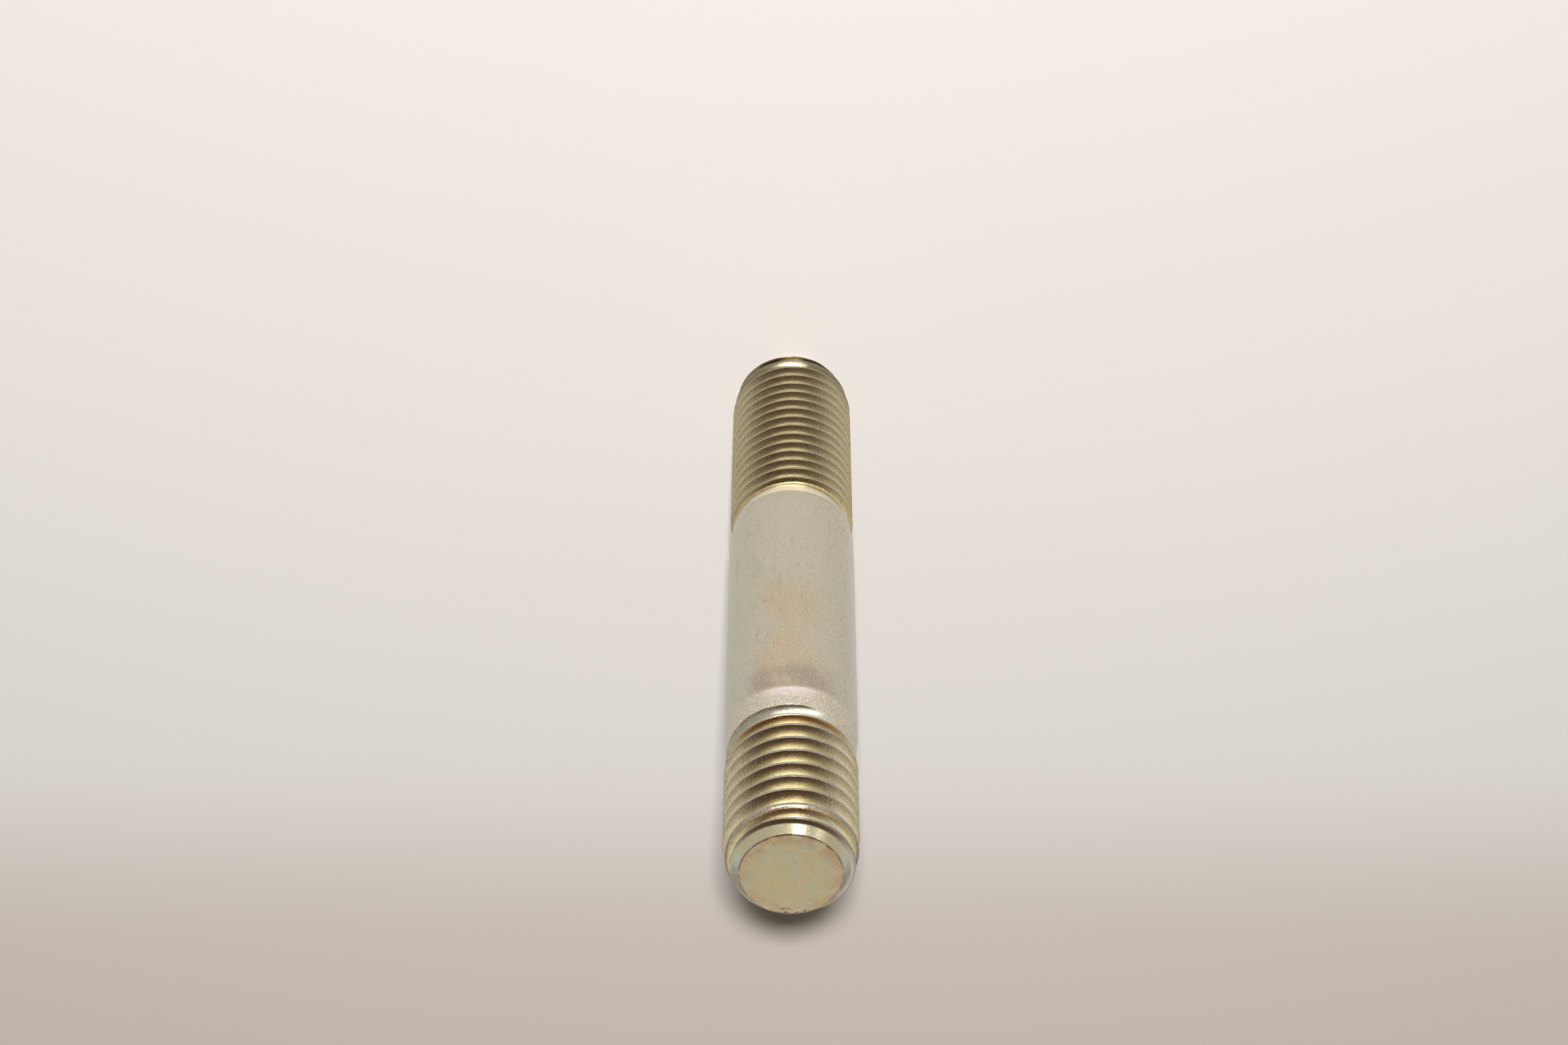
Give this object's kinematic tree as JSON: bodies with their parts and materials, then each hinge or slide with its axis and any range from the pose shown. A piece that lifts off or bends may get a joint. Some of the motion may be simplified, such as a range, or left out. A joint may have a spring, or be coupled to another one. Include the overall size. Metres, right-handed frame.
{
  "type": "stud bolt",
  "caption": "Double-ended steel stud with a plain shank, a coarse metric thread on one end and a finer one on the other, both ends chamfered to a flat.",
  "frame": {"origin": "centre of the flat on the fine-threaded end, which the stud stands on", "axes": "+Z along the stud's axis, from the fine-threaded end to the coarse-threaded end; -Y is the side that faces up when the stud lies as it was seen"},
  "size_m": [0.012, 0.012, 0.074],
  "materials": {
    "passivated_zinc": "zinc electroplate with a yellow iridescent chromate film over turned and rolled steel, satin"
  },
  "bodies": {
    "root": {"stud": "passivated_zinc"}
  },
  "joints": []
}
